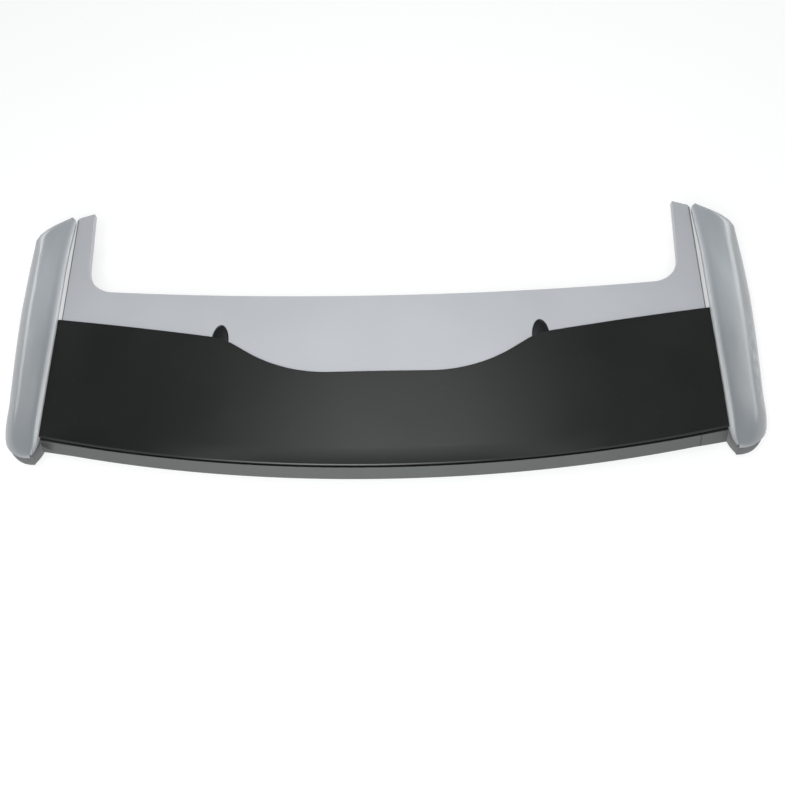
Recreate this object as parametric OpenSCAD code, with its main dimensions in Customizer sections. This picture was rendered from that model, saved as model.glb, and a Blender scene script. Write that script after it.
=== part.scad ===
// Tailgate roof spoiler of a large estate car: a crowned deck with two forward horns that clasp
// the rear edge of the roof, a dark centre panel, a lower shell with the trailing lip, and two
// hollow side fins. Millimetres. +X is the car's right, +Y points forwards, +Z up. The origin
// lies under the middle of the part, at the level of the fins' lower edges.

/* [Deck] */
// Width over the outer edges of the two horns
deck_w = 1102; // [1000:2:1200]
// Depth from the horn tips to the trailing edge
body_l = 520; // [500:5:600]
// Height of the deck's top on the centreline above the fins' lower edges
deck_h = 130; // [120:1:160]
// Radius of the crown across the car
crown_r = 3600; // [3000:50:6000]
// Wall of the deck's skin
skin_t = 3; // [2.5:0.1:3.5]
// Depth of the return flange round the deck's free edges
flange_h = 12; // [9:0.5:16]

/* [Roof cut-out] */
// Depth of the cut-out from the horn tips to the deck's front edge, on the centreline
roof_cut_l = 204; // [180:2:230]
// Radius of the deck's front edge in plan
roof_arc_r = 3180; // [2600:20:5000]
// Radius of the cut-out's two corners
roof_corner_r = 57; // [40:1:80]
// Width of a horn at its root
horn_root_w = 40; // [34:1:50]
// Width of a horn at its tip
horn_tip_w = 29.5; // [24:0.5:34]
// How far a horn's outer tip lies behind its inner tip
horn_slant = 6; // [2:1:12]

/* [Centre panel] */
// Wall of the panel
panel_t = 3; // [2.5:0.1:4]
// Distance of the panel's front edge behind the deck's front edge, on the centreline
panel_set_back = 141; // [120:1:160]
// Half the width of the straight middle of the panel's front edge
wave_flat_x = 80; // [60:1:110]
// Radius of the hollow of the wave
wave_valley_r = 250; // [200:5:300]
// Steepest angle of the wave
wave_angle = 33.4; // [28:0.2:38]
// Length of the straight stretch on the wave's flank
wave_flank_l = 27; // [10:1:40]
// Radius of the shoulder of the wave
wave_crest_r = 120; // [90:5:150]
// Angle of the panel's front edge outside the shoulder
wave_side_angle = 11.3; // [9:0.1:13]
// Chamfer along the panel's rear edge
panel_chamfer = 2.4; // [1:0.1:2.6]
// Radius of the panel's fixing pins
panel_pin_r = 3.5; // [2.5:0.1:4.5]

/* [Trailing lip] */
// Radius of the trailing edge in plan
rear_arc_r = 2200; // [1800:20:3000]
// Height of the trailing edge's lower corner below the deck's top
lip_h = 20; // [17:0.5:24]
// Rearward run of the lip's face for each unit that it drops
lip_slope = 0.75; // [0.4:0.05:0.9]
// Open joint between the panel and the lip
lip_gap = 2.5; // [1.5:0.5:4]
// Depth of the groove that runs along under the panel's rear edge
groove_h = 5; // [3:0.5:6]

/* [Lower shell] */
// Wall of the lower shell
shell_t = 3; // [2.4:0.1:3.4]
// Depth of the shell at the mounting pads, below the deck's top
pad_drop = 46; // [42:1:54]
// Depth of the shell where its hollow ends, below the deck's top
waist_drop = 30; // [26:1:36]
// Length of the mounting pads' level stretch
pad_l = 75; // [70:1:90]
// Distance of the shell's front wall behind the deck's front edge
shell_set_back = 36; // [30:1:44]
// Thickness of the stiffening ribs
rib_t = 2; // [1.5:0.1:3]

/* [Side fins] */
// Width of a fin
fin_w = 95; // [85:1:110]
// Distance from a horn's outer edge to the fin
fin_gap = 9; // [7:0.5:12]
// Height of a fin's inner edge above the deck
fin_rise = 7; // [4:0.5:10]
// Wall of a fin's outer skin
fin_t = 3; // [2.4:0.1:3.6]
// Wall of the fin's backing
backing_t = 2.5; // [2:0.1:3]
// Length of the slanted nose
nose_l = 42; // [34:1:52]
// Distance of the fin's rear end ahead of the trailing edge
fin_tail_l = 56; // [48:1:66]
// Height of the fin's lower edge at its rear end
tail_lift = 38; // [28:1:46]

/* [Fixings] */
// Distance between the left and right mounting studs
stud_span_x = 840; // [780:5:900]
// Distance between the front and rear mounting studs
stud_span_y = 48; // [40:1:52]
// Radius of a mounting stud
stud_r = 3; // [2.5:0.5:4]
// Length of a stud below its pad
stud_l = 30; // [20:1:34]
// Distance between the two locating pins
pin_span = 320; // [260:5:400]
// Radius of a locating pin
pin_r = 4; // [3:0.5:5]
// Length of a locating pin's straight part below its collar
pin_l = 16; // [12:1:20]
// Radius of the screws' shanks
screw_r = 2; // [1.5:0.1:2.5]

/* [Trim] */
// Half the width of an oval plug
plug_a = 14.5; // [11:0.5:17]
// Half the length of an oval plug
plug_b = 31.5; // [26:0.5:36]
// Distance of a plug's middle from the centreline
plug_x = 265.5; // [255:0.5:275]
// Distance of a plug's middle behind the deck's front edge
plug_set_back = 77; // [70:1:84]
// Thickness of the foam seals
foam_t = 9; // [7:0.5:12]
// Width of the foam seals
foam_w = 12; // [8:0.5:14]

/* [Hidden] */
// Clearance between pieces that are seated on or in each other
seat_gap = 0.3;
// Clearance of a screw or pin in its hole
hole_gap = 0.3;
$fa = 1;
$fs = 1.2;
// Steps of a full turn on the long arcs
arc_steps = 256;

front_y = body_l / 2;
rear_y = -body_l / 2;
deck_x = deck_w / 2;
roof_y = front_y - roof_cut_l;
lip_top_drop = skin_t + seat_gap;
lip_l = lip_slope * (lip_h - lip_top_drop);
panel_rear_y = rear_y + lip_l + lip_gap;
panel_mid_y = roof_y - panel_set_back;
deck_rear_y = panel_rear_y + skin_t + 2 * seat_gap;
crown_deg = asin((deck_x + fin_gap) / (crown_r - 2 * pad_drop)) + 0.5;
panel_x = deck_x + fin_gap - 2;
shell_x = deck_x - skin_t - 1;
shell_front_y = roof_y - shell_set_back;
pad_slope_l = 17;
waist_run = 0.385 * (shell_front_y - pad_slope_l - pad_l - deck_rear_y);
tail_run = waist_run;

deck_grey = [0.72, 0.74, 0.77];
fin_silver = [0.66, 0.68, 0.71];
panel_black = [0.16, 0.17, 0.17];
shell_grey = [0.45, 0.46, 0.46];
end_grey = [0.5, 0.52, 0.52];
strip_white = [0.92, 0.93, 0.93];
plug_black = [0.08, 0.08, 0.09];
foam_black = [0.12, 0.12, 0.12];
zinc = [0.75, 0.76, 0.74];

// Height of the deck's top at a distance x from the centreline
function surface_z(x) = deck_h - crown_r + sqrt(crown_r * crown_r - x * x);

// Points of an arc from one angle to another
function arc(centre, r, from, to, steps) =
    [for (k = [0:steps]) let (a = from + (to - from) * k / steps) centre + r * [cos(a), sin(a)]];

// A right half outline followed by its mirror image
function whole(half) = concat(half, [for (k = [len(half) - 1:-1:0]) [-half[k][0], half[k][1]]]);

// Place of the arc that runs parallel to the trailing edge, y being its place on the centreline
function rear_arc_y(x, y) = y + rear_arc_r - sqrt(rear_arc_r * rear_arc_r - x * x);

// Right half of that arc, from the centreline to x
function rear_arc(x, y, steps) = arc([0, y + rear_arc_r], rear_arc_r, -90, asin(x / rear_arc_r) - 90, steps);

// The roof cut-out's corner: the arc that touches the horn's inner edge and the deck's front edge
horn_deg = atan((horn_root_w - horn_tip_w) / roof_cut_l);
horn_dir = [sin(horn_deg), cos(horn_deg)];
horn_in = [-cos(horn_deg), sin(horn_deg)];
horn_root = [deck_x - horn_root_w, roof_y];
roof_centre = [0, roof_y + roof_arc_r];
corner_from = horn_root + roof_corner_r * horn_in - roof_centre;
corner_run = -corner_from * horn_dir
    - sqrt(pow(corner_from * horn_dir, 2) - corner_from * corner_from + pow(roof_arc_r - roof_corner_r, 2));
corner_centre = horn_root + roof_corner_r * horn_in + corner_run * horn_dir;
corner_to_roof = corner_centre - roof_centre;
corner_end_deg = atan2(corner_to_roof[1], corner_to_roof[0]);

// Plan of the deck, drawn in by inset all round, its rear edge passing through y_rear
function deck_plan(inset, y_rear) = whole(concat(
    rear_arc(deck_x - inset, y_rear, 24),
    [[deck_x - inset, front_y - horn_slant - inset],
     horn_root + (roof_cut_l - inset) / cos(horn_deg) * horn_dir - inset * horn_in],
    arc(corner_centre, roof_corner_r + inset, -horn_deg, corner_end_deg, 14),
    arc(roof_centre, roof_arc_r + inset, corner_end_deg, -90, 24)
));

// Right half of the panel's front edge, from the centreline outwards to x
wave_valley_x = wave_flat_x + wave_valley_r * sin(wave_angle);
wave_crest_x = wave_valley_x + wave_flank_l * cos(wave_angle);
wave_crest_y = wave_valley_r * (1 - cos(wave_angle)) + wave_flank_l * sin(wave_angle);
wave_side_x = wave_crest_x + wave_crest_r * (sin(wave_angle) - sin(wave_side_angle));
wave_side_y = wave_crest_y + wave_crest_r * (cos(wave_side_angle) - cos(wave_angle));
function wave_half(x) = concat(
    [[0, panel_mid_y]],
    arc([wave_flat_x, panel_mid_y + wave_valley_r], wave_valley_r, -90, wave_angle - 90, 14),
    arc([wave_crest_x + wave_crest_r * sin(wave_angle),
         panel_mid_y + wave_crest_y - wave_crest_r * cos(wave_angle)],
        wave_crest_r, 90 + wave_angle, 90 + wave_side_angle, 8),
    [[x, panel_mid_y + wave_side_y + (x - wave_side_x) * tan(wave_side_angle)]]
);

// Plan of the panel, its side and rear edges drawn in by inset
function panel_plan(inset) = let (front = wave_half(panel_x - inset)) whole(concat(
    rear_arc(panel_x - inset, panel_rear_y + inset, 24),
    [for (k = [len(front) - 1:-1:0]) front[k]]
));

// A profile of [y, depth below the deck's top] swept along the crown
module crowned(profile) {
    translate([0, 0, deck_h - crown_r]) rotate([90, 0, 0])
        rotate_extrude(angle = 2 * crown_deg, start = 90 - crown_deg, $fn = arc_steps)
            polygon([for (p = profile) [crown_r - p[1], -p[0]]]);
}

// The layer between two depths below the deck's top
module crown_layer(top, bottom) {
    crowned([[-body_l, top], [body_l, top], [body_l, bottom], [-body_l, bottom]]);
}

// A plan outline as a tall prism
module prism(outline) {
    translate([0, 0, -1]) linear_extrude(height = 2 * deck_h) polygon(outline);
}

// Everything ahead of the lip's slanted face, drawn in by inset. The cone's radius makes the lip
// run parallel to the trailing edge although the crown lowers it towards the sides.
module lip_cone(inset) {
    low_r = 1 / (1 / rear_arc_r + lip_slope / crown_r);
    corner_z = deck_h - lip_h;
    translate([0, rear_y + low_r, 0])
        cylinder(h = 2 * corner_z, r1 = low_r - inset + lip_slope * corner_z,
                 r2 = low_r - inset - lip_slope * corner_z, $fn = arc_steps);
}

// Underside of the lower shell as [y, depth], drawn in by inset
shell_profile = [
    [shell_front_y, lip_top_drop], [shell_front_y - pad_slope_l, pad_drop],
    [shell_front_y - pad_slope_l - pad_l, pad_drop],
    [shell_front_y - pad_slope_l - pad_l - waist_run, waist_drop],
    [shell_front_y - pad_slope_l - pad_l - waist_run - tail_run, lip_h],
    [-body_l, lip_h], [-body_l, lip_top_drop]
];
function shell_drop(y) = lookup(y, [for (p = [1:5]) shell_profile[p]]);
pad_y = shell_front_y - pad_slope_l - pad_l / 2;

// How far a plug's face lies under the deck's top, and how far its rim reaches round and under
plug_sink = 0.4;
plug_rim_t = 2;

// Fixing places
stud_places = [for (sx = [-1, 1], sy = [-1, 1]) [sx * stud_span_x / 2, pad_y + sy * stud_span_y / 2]];
pin_places = [for (s = [-1, 1]) [s * pin_span / 2, pad_y]];
pad_face_drop = pad_drop + 2.5;
function pad_z(place) = surface_z(place[0]) - pad_face_drop;
stud_boss_r = 14;
stud_boss_h = 10;
stud_shank_r = stud_r + 0.5;
stud_collar_r = stud_r + 3;
collar_t = 2;
pin_shank_r = pin_r - 0.5;
screw_pad_r = 6.5;
screw_pad_h = 2;
screw_boss_r = 5;
screw_head_r = 4.5;
screw_head_h = 2.5;
screw_l = 15;
screw_ahead = 22;
screw_margin = 34;
shell_screw_places = [
    for (s = [-1, 1]) each [
        for (x = [0.18, 0.54] * deck_x) [s * x, pad_y - pad_l / 2 - screw_ahead],
        for (x = [0.24, 0.72] * deck_x) [s * x, rear_arc_y(x, deck_rear_y) + screw_margin]
    ]
];
function screw_pad_z(place) = surface_z(place[0]) - shell_drop(place[1]) - screw_pad_h;
panel_pin_margin = 20;
panel_pin_places = [
    for (s = [-1, 1]) each [
        [s * 0.11 * deck_x, panel_mid_y - panel_pin_margin],
        for (x = [0.62, 0.9] * deck_x) [s * x, panel_mid_y + wave_side_y - panel_pin_margin],
        for (x = [0.43, 0.85] * deck_x) [s * x, rear_arc_y(x, deck_rear_y) + panel_pin_margin]
    ]
];
panel_pin_l = skin_t + 6;
retainer_t = 1.5;
retainer_r = 8;
retainer_drop = skin_t + 1.3;
fin_screw_z = surface_z(deck_x) - flange_h - 10;
fin_boss_r = 5.5;
rib_xs = [-0.8, -0.4, 0, 0.4, 0.8] * deck_x;

module upper_shell() {
    color(deck_grey) difference() {
        union() {
            difference() {
                intersection() {
                    crown_layer(0, flange_h);
                    prism(deck_plan(0, deck_rear_y));
                }
                intersection() {
                    crown_layer(skin_t, flange_h + 1);
                    prism(deck_plan(skin_t, deck_rear_y - 2 * skin_t));
                }
            }
            for (p = shell_screw_places) screw_tower(p);
        }
        for (s = [-1, 1]) oval_hole(s, seat_gap);
        for (p = panel_pin_places) translate([p[0], p[1], 0])
            cylinder(h = 2 * deck_h, r = panel_pin_r + hole_gap);
    }
}

// Tower under the deck that a shell screw is driven up into
module screw_tower(p) {
    foot_z = screw_pad_z(p) + screw_pad_h + shell_t + 2;
    difference() {
        intersection() {
            translate([p[0], p[1], foot_z]) cylinder(h = deck_h, r = screw_boss_r);
            crown_layer(skin_t / 2, pad_drop);
        }
        translate([p[0], p[1], foot_z - 1]) cylinder(h = screw_l - 2, r = screw_r + 0.05);
    }
}

// Oval opening for a plug
module oval_hole(side, gap) {
    translate([side * plug_x, roof_y - plug_set_back, 0])
        linear_extrude(height = 2 * deck_h)
            scale([plug_a + gap, plug_b + gap]) circle(r = 1, $fn = 64);
}

module lower_shell() {
    color(shell_grey) difference() {
        union() {
            difference() {
                shell_body();
                shell_hollow();
            }
            shell_ribs();
            for (p = stud_places) stud_boss(p);
            for (p = pin_places) stud_boss(p);
            for (p = shell_screw_places) translate([p[0], p[1], screw_pad_z(p)])
                cylinder(h = screw_pad_h + shell_t, r = screw_pad_r);
        }
        for (p = stud_places) translate([p[0], p[1], 0])
            cylinder(h = deck_h - lip_h, r = stud_shank_r + hole_gap);
        for (p = pin_places) translate([p[0], p[1], 0])
            cylinder(h = deck_h - lip_h, r = pin_shank_r + hole_gap);
        for (p = shell_screw_places) translate([p[0], p[1], 0])
            cylinder(h = screw_pad_z(p) + screw_l, r = screw_r + hole_gap);
        for (s = [-1, 1], y = fin_screw_ys) translate([s * shell_x, y, fin_screw_z]) rotate([0, 90, 0])
            cylinder(h = screw_l, r = screw_r + hole_gap, center = true);
        lip_groove();
    }
}

// Groove between the lip's thin upper edge and the wall under the panel's rear edge
module lip_groove() {
    edge_t = 1.2;
    intersection() {
        crown_layer(-1, lip_top_drop + groove_h);
        lip_cone(edge_t);
        difference() {
            translate([-deck_w, -body_l, -1]) cube([2 * deck_w, body_l, 2 * deck_h]);
            translate([0, panel_rear_y + 1 + rear_arc_r, -2])
                cylinder(h = 2 * deck_h + 4, r = rear_arc_r, $fn = arc_steps);
        }
    }
}

// Outer form of the lower shell: the tub and the trailing lip, which is wider
module shell_body() {
    intersection() {
        crowned(shell_profile);
        lip_cone(0);
        union() {
            translate([-shell_x, -body_l, -1]) cube([2 * shell_x, 2 * body_l, 2 * deck_h]);
            difference() {
                translate([-panel_x, -body_l, -1]) cube([2 * panel_x, body_l, 2 * deck_h]);
                translate([0, deck_rear_y - 1 + rear_arc_r, -2])
                    cylinder(h = 2 * deck_h + 4, r = rear_arc_r, $fn = arc_steps);
            }
        }
    }
}

// Space inside the lower shell: open to the deck ahead of the lip, roofed over within the lip
module shell_hollow() {
    inner = [
        [shell_front_y - shell_t * 1.1, lip_top_drop - 1],
        [shell_front_y - pad_slope_l - shell_t * 0.7, pad_drop - shell_t],
        [shell_front_y - pad_slope_l - pad_l, pad_drop - shell_t],
        [shell_front_y - pad_slope_l - pad_l - waist_run, waist_drop - shell_t],
        [shell_front_y - pad_slope_l - pad_l - waist_run - tail_run, lip_h - shell_t],
        [-body_l, lip_h - shell_t], [-body_l, lip_top_drop - 1]
    ];
    intersection() {
        crowned(inner);
        translate([-shell_x + shell_t, -body_l, -1]) cube([2 * (shell_x - shell_t), 2 * body_l, 2 * deck_h]);
        union() {
            translate([0, deck_rear_y + shell_t + rear_arc_r, -2])
                cylinder(h = 2 * deck_h + 4, r = rear_arc_r, $fn = arc_steps);
            intersection() {
                lip_cone(shell_t * 1.25);
                crown_layer(lip_top_drop + groove_h + shell_t, lip_h);
            }
        }
    }
}

// Upright ribs from the shell's floor to just under the deck
module shell_ribs() {
    intersection() {
        difference() {
            crowned([for (p = [0:4]) shell_profile[p]]);
            crown_layer(-1, lip_top_drop + 1);
        }
        lip_cone(shell_t);
        for (x = rib_xs) translate([x - rib_t / 2, -body_l, 0]) cube([rib_t, 2 * body_l, deck_h]);
    }
}

// Boss through the shell's floor, level at both ends
module stud_boss(p) {
    translate([p[0], p[1], pad_z(p)]) cylinder(h = stud_boss_h, r = stud_boss_r);
}

module centre_panel() {
    color(panel_black) difference() {
        union() {
            intersection() {
                crown_layer(-panel_t - seat_gap, -seat_gap);
                prism(panel_plan(0));
            }
            intersection() {
                crown_layer(-panel_t - seat_gap, lip_top_drop - 0.5);
                prism(whole(concat(rear_arc(panel_x, panel_rear_y, 24),
                    [for (k = [24:-1:0]) rear_arc(panel_x, panel_rear_y + panel_t, 24)[k]])));
            }
            for (p = panel_pin_places) panel_pin(p);
        }
        panel_edge_cut();
    }
}

// Pin under the panel, through the deck
module panel_pin(p) {
    intersection() {
        translate([p[0], p[1], surface_z(p[0]) - panel_pin_l])
            cylinder(h = panel_pin_l + panel_t, r = panel_pin_r);
        crown_layer(-panel_t / 2 - seat_gap, deck_h / 2);
    }
}

// What the chamfer takes off the panel's upper rear edge
module panel_edge_cut() {
    low_r = 1 / (1 / rear_arc_r + 1 / crown_r);
    edge_z = deck_h + panel_t + seat_gap - panel_chamfer;
    reach = 200;
    difference() {
        translate([-deck_w, -body_l, -1]) cube([2 * deck_w, body_l, 2 * deck_h]);
        translate([0, panel_rear_y + low_r, edge_z - reach])
            cylinder(h = 2 * reach, r1 = low_r + reach, r2 = low_r - reach, $fn = arc_steps);
    }
}

// Side fins: every station along y is one section, drawn in a box from the inner face to the
// outermost point and from the top edge to the lower edge
fin_tip_y = front_y - horn_slant + 1;
fin_tail_y = rear_y + fin_tail_l;
fin_nose_y = fin_tip_y - nose_l;
fin_l = fin_tip_y - fin_tail_y;
fin_turn_y = fin_tip_y - 0.24 * fin_l;
fin_sweep_y = fin_tip_y - 0.315 * fin_l;
fin_mid_y = fin_tip_y - 0.34 * fin_l;
fin_drop_y = fin_tail_y + 0.18 * fin_l;
fin_round_y = fin_tail_y + 0.227 * fin_l;
fin_backing_y = fin_round_y - 4;
first_screw_y = fin_backing_y + 2 * fin_boss_r;
last_screw_y = shell_front_y - pad_slope_l - 1.5 * fin_boss_r;
fin_screw_ys = [first_screw_y, (first_screw_y + last_screw_y) / 2, last_screw_y];
fin_steps = 30;
fin_x = deck_x + fin_gap;
tip_x = deck_x + 2.5;
tip_w = 16;
nose_tip_h = 10;
nose_w = fin_w - 16;
tail_w = 16;
fin_taper = 10;
function clamp01(t) = min(1, max(0, t));
// How far y has gone from one place to another, from 0 to 1
function share(y, from, to) = clamp01((y - from) / (to - from));
function fin_inner(y) = fin_x + (tip_x - fin_x) * pow(share(y, fin_turn_y, fin_tip_y), 1.5);
function fin_outer(y) =
    y >= fin_nose_y ? tip_x + tip_w
        + (fin_x + nose_w - tip_x - tip_w) * (1 - pow(1 - share(y, fin_tip_y, fin_nose_y), 2.2))
    : y >= fin_mid_y ? fin_x + nose_w
        + (fin_w - nose_w) * (1 - pow(1 - share(y, fin_nose_y, fin_mid_y), 2))
    : y >= fin_round_y ? fin_x + fin_w - fin_taper * pow(share(y, fin_mid_y, fin_round_y), 1.5)
    : fin_x + tail_w
        + (fin_w - fin_taper - tail_w) * sqrt(max(0, 1 - pow(share(y, fin_round_y, fin_tail_y), 2)));
function fin_top(y) = surface_z(fin_inner(y)) + fin_rise * (1
    - 0.4 * pow(share(y, fin_turn_y, fin_tip_y), 2) - 0.5 * pow(share(y, fin_drop_y, fin_tail_y), 2));
function fin_low(y) = (surface_z(tip_x) - nose_tip_h) * pow(share(y, fin_sweep_y, fin_tip_y), 1.7)
    + tail_lift * pow(share(y, fin_round_y, fin_tail_y), 2);
// How far down the side the outer skin reaches, from the crease at 0 to the lower edge at 1
function skin_reach(y) = 1 - 0.62 * pow(share(y, fin_round_y - 10, fin_tail_y), 1.2);
crease_u = 0.63;
crease_v = 0.2;
function side_point(s) = [crease_u + (1 - crease_u) * (1 - pow(1 - s, 3)), crease_v + (1 - crease_v) * s];
function skin_path(reach) = concat(
    [[0, 0.2], [0, 0.1], [0.012, 0.05], [0.035, 0.018], [0.08, 0]],
    [for (k = [1:4]) [0.08 + (crease_u - 0.08) * k / 4, crease_v * pow(k / 4, 1.35)]],
    [for (k = [1:8]) side_point(reach * pow(k / 8, 1.2))]
);
backing_path = [[0, 0.14], [0, 0.4], [0.01, 0.7], [0.05, 0.88], [0.14, 0.97], [0.3, 1], [0.6, 1], [0.93, 1]];
// Section of the closed rear end, whose inner wall leans outwards more and more towards the tail
function end_path(y) = let (lean = 0.25 * share(y, fin_backing_y, fin_tail_y)) concat(
    [[0, 0.1], [0, 0.3], [lean, 0.93], [lean + 0.05, 1], [0.5, 1]],
    [for (k = [0:8]) side_point(0.97 - 0.72 * k / 8)]
);

// A section's points at station y, its box drawn in by side, top and bottom amounts
function placed(path, y, side, top, bottom) = let (
    x0 = fin_inner(y) + side, x1 = fin_outer(y) - side,
    z1 = fin_top(y) - top, z0 = fin_low(y) + bottom)
    [for (p = path) [x0 + p[0] * (x1 - x0), y, z1 - p[1] * (z1 - z0)]];
// Stations from y0 to y1, closer together towards both ends
function stations(y0, y1, steps) = [for (k = [0:steps]) y0 + (y1 - y0) * (1 - cos(180 * k / steps)) / 2];

// An open path with a wall: two matching grids of points, joined along their borders. With capped,
// the last station is closed by two end walls, and the inner grid stops short of the outer one.
module walled_sheet(outer, inner, capped = false) {
    m = len(outer);
    n = len(outer[0]);
    o = function (j, k) j * n + k;
    i = function (j, k) m * n + j * n + k;
    quads = concat(
        [for (j = [0:m - 2], k = [0:n - 2]) [o(j, k), o(j, k + 1), o(j + 1, k + 1), o(j + 1, k)]],
        [for (j = [0:m - 2], k = [0:n - 2]) [i(j, k), i(j + 1, k), i(j + 1, k + 1), i(j, k + 1)]],
        [for (j = [0:m - 2]) [o(j, 0), o(j + 1, 0), i(j + 1, 0), i(j, 0)]],
        [for (j = [0:m - 2]) [o(j, n - 1), i(j, n - 1), i(j + 1, n - 1), o(j + 1, n - 1)]],
        [for (k = [0:n - 2]) [o(0, k), i(0, k), i(0, k + 1), o(0, k + 1)]],
        capped ? [[o(m - 1, 0), o(m - 1, n - 1), i(m - 1, n - 1), i(m - 1, 0)]]
            : [for (k = [0:n - 2]) [o(m - 1, k), o(m - 1, k + 1), i(m - 1, k + 1), i(m - 1, k)]]
    );
    caps = capped
        ? [for (k = [1:n - 2]) each [
            [o(m - 1, 0), o(m - 1, k), o(m - 1, k + 1)], [i(m - 1, 0), i(m - 1, k + 1), i(m - 1, k)]]]
        : [];
    polyhedron(points = concat([for (row = outer) each row], [for (row = inner) each row]),
               faces = concat([for (q = quads) each [[q[0], q[1], q[2]], [q[0], q[2], q[3]]]], caps));
}

// A cup of closed sections: its first station is closed and its last is open
module cup(outer, inner) {
    m = len(outer);
    n = len(outer[0]);
    lid = m * n;
    last = (m - 1) * n;
    polyhedron(
        points = concat([for (row = outer) each row], [for (row = inner) each row]),
        faces = concat(
            [for (j = [0:m - 2], k = [0:n - 1]) let (a = j * n + k, b = j * n + (k + 1) % n)
                each [[a, b, b + n], [a, b + n, a + n],
                      [lid + a, lid + b + n, lid + b], [lid + a, lid + a + n, lid + b + n]]],
            [for (k = [1:n - 2]) each [[0, k + 1, k], [lid, lid + k, lid + k + 1]]],
            [for (k = [0:n - 1]) let (a = last + k, b = last + (k + 1) % n)
                each [[a, b, lid + b], [a, lid + b, lid + a]]]
        )
    );
}

// Wall of the skin at station y, thinner where the fin runs out
function skin_wall(y) = min(fin_t, (fin_outer(y) - fin_inner(y)) / 5);

module fin_skin() {
    ys = stations(fin_tail_y, fin_tip_y, fin_steps);
    inner_ys = stations(fin_tail_y, fin_tip_y - fin_t, fin_steps);
    color(fin_silver) walled_sheet(
        [for (y = ys) placed(skin_path(skin_reach(y)), y, 0, 0, 0)],
        [for (y = inner_ys) placed(skin_path(skin_reach(y)), y, skin_wall(y), skin_wall(y), 0)],
        capped = true
    );
}

module fin_backing() {
    inset = fin_t + 0.5;
    ys = stations(fin_backing_y, fin_tip_y - 3 * fin_t, 18);
    color(end_grey) difference() {
        union() {
            walled_sheet(
                [for (y = ys) placed(backing_path, y, inset, inset, 1)],
                [for (y = ys) placed(backing_path, y, inset + backing_t, inset, 1 + backing_t)]
            );
            for (y = fin_screw_ys) fin_boss(y, shell_x + seat_gap, fin_boss_r);
        }
        for (y = fin_screw_ys) fin_boss(y, shell_x - 1, screw_r + 0.05);
    }
}

// Level boss from the lower shell's side wall to the backing
module fin_boss(y, x, r) {
    translate([x, y, fin_screw_z]) rotate([0, 90, 0]) cylinder(h = fin_x + fin_t + 2 - x, r = r);
}

// Closed rear end of a fin, seen below the skin's rising edge
module fin_end() {
    front_y = fin_backing_y - seat_gap;
    ys = stations(fin_tail_y + 1, front_y, 12);
    inner_ys = stations(fin_tail_y + 1 + 2 * backing_t, front_y, 12);
    function inset(y) = skin_wall(y) + 1.2;
    color(end_grey) cup(
        [for (y = ys) placed(end_path(y), y, inset(y), 2 * fin_t, 0)],
        [for (y = inner_ys) placed(end_path(y), y, inset(y) + backing_t, 2 * fin_t + backing_t, backing_t)]
    );
}

module filler_strip() {
    back_y = wave_half(fin_x)[len(wave_half(fin_x)) - 1][1] + seat_gap;
    end_y = fin_tip_y - 4;
    ys = stations(back_y, end_y, 12);
    color(strip_white) intersection() {
        crown_layer(0.2, 8);
        prism(concat([[deck_x + seat_gap, back_y], [deck_x + seat_gap, end_y]],
                     [for (k = [12:-1:0]) [fin_inner(ys[k]) - seat_gap, ys[k]]]));
    }
}

module oval_plug(side) {
    color(plug_black) {
        intersection() {
            crown_layer(plug_sink, skin_t + plug_rim_t);
            oval_hole(side, 0);
        }
        intersection() {
            crown_layer(skin_t + seat_gap, skin_t + plug_rim_t);
            oval_hole(side, plug_rim_t);
        }
    }
}

module front_seal() {
    edge = skin_t + 3;
    color(foam_black) intersection() {
        crown_layer(skin_t + seat_gap, skin_t + seat_gap + foam_t);
        prism(concat(
            arc(roof_centre, roof_arc_r + edge, corner_end_deg, -180 - corner_end_deg, 40),
            arc(roof_centre, roof_arc_r + edge + foam_w, -180 - corner_end_deg, corner_end_deg, 40)));
    }
}

module horn_seal() {
    x = deck_x - skin_t - 2 - foam_w;
    end_y = front_y - horn_slant - skin_t - 8;
    color(foam_black) intersection() {
        crown_layer(skin_t + seat_gap, skin_t + seat_gap + foam_t);
        translate([x, corner_centre[1], 0]) cube([foam_w, end_y - corner_centre[1], 2 * deck_h]);
    }
}

module mounting_studs() {
    plate = 24;
    plate_t = 2.5;
    color(zinc) for (p = stud_places) translate([p[0], p[1], pad_z(p)]) {
        translate([0, 0, -stud_l]) cylinder(h = stud_l - 1, r = stud_r);
        translate([0, 0, -collar_t]) cylinder(h = collar_t, r = stud_collar_r);
        translate([0, 0, -1]) cylinder(h = stud_boss_h + 2, r = stud_shank_r);
        translate([-plate / 2, -plate / 2, stud_boss_h]) cube([plate, plate, plate_t]);
    }
}

module stud_seals() {
    color(foam_black) for (p = stud_places) translate([p[0], p[1], pad_z(p) - foam_t / 2]) difference() {
        cylinder(h = foam_t / 2, r = stud_boss_r - 1);
        translate([0, 0, -1]) cylinder(h = foam_t, r = stud_collar_r + 2.5);
    }
}

module locating_pins() {
    color(foam_black) for (p = pin_places) translate([p[0], p[1], pad_z(p)]) {
        translate([0, 0, stud_boss_h]) cylinder(h = collar_t, r = pin_r + 2);
        translate([0, 0, -1]) cylinder(h = stud_boss_h + 2, r = pin_shank_r);
        translate([0, 0, -collar_t]) cylinder(h = collar_t, r = pin_r + 4);
        translate([0, 0, -collar_t - pin_l]) cylinder(h = pin_l + 1, r = pin_r);
        translate([0, 0, -collar_t - pin_l - pin_r]) cylinder(h = pin_r, r1 = pin_r / 2, r2 = pin_r);
    }
}

module shell_screws() {
    color(zinc) for (p = shell_screw_places) translate([p[0], p[1], screw_pad_z(p)]) {
        translate([0, 0, -screw_head_h]) cylinder(h = screw_head_h, r = screw_head_r);
        translate([0, 0, -1]) cylinder(h = screw_l, r = screw_r);
    }
}

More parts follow.
